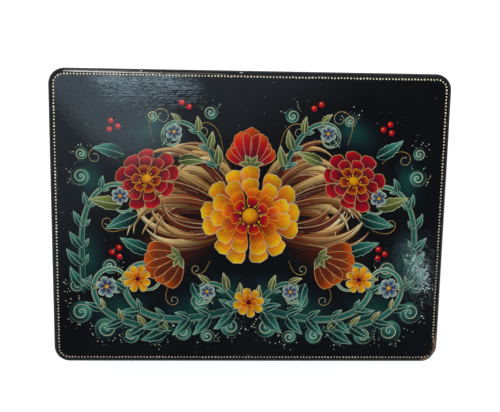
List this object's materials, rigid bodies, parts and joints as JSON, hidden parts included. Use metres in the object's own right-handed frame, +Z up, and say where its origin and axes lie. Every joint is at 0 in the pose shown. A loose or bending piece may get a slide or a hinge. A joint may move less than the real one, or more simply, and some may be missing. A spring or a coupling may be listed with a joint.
{
  "type": "lacquer box",
  "caption": "Rectangular papier-mache lacquer casket with rounded corners, a crowned overhanging lid on brass back hinges, gold dot border and painted floral lid.",
  "frame": {"origin": "middle of the underside, on the surface that the box stands on", "axes": "+X to the right along the long side, -Y to the front, +Y to the hinge side, +Z up; the lid is closed"},
  "size_m": [0.2, 0.15, 0.053],
  "materials": {
    "black_lacquer": "gloss",
    "red_lacquer": "gloss",
    "brass": "satin"
  },
  "bodies": {
    "box": {"base_plate": "black_lacquer", "body_band": "black_lacquer", "body_liner": "red_lacquer", "hinge_left_body_leaf": "brass", "hinge_left_pin": "brass", "hinge_left_body_rivets": "brass", "hinge_right_body_leaf": "brass", "hinge_right_pin": "brass", "hinge_right_body_rivets": "brass"},
    "lid": {"lid_panel": "black_lacquer", "lid_rim": "black_lacquer", "hinge_left_lid_leaf": "brass", "hinge_left_lid_rivets": "brass", "hinge_right_lid_leaf": "brass", "hinge_right_lid_rivets": "brass"}
  },
  "joints": [
    {"name": "lid_hinge", "type": "hinge", "parent": "box", "child": "lid", "pos_m": [0, 0.0712, 0.037], "axis": [-1, 0, 0], "range_deg": [0, 98]}
  ]
}
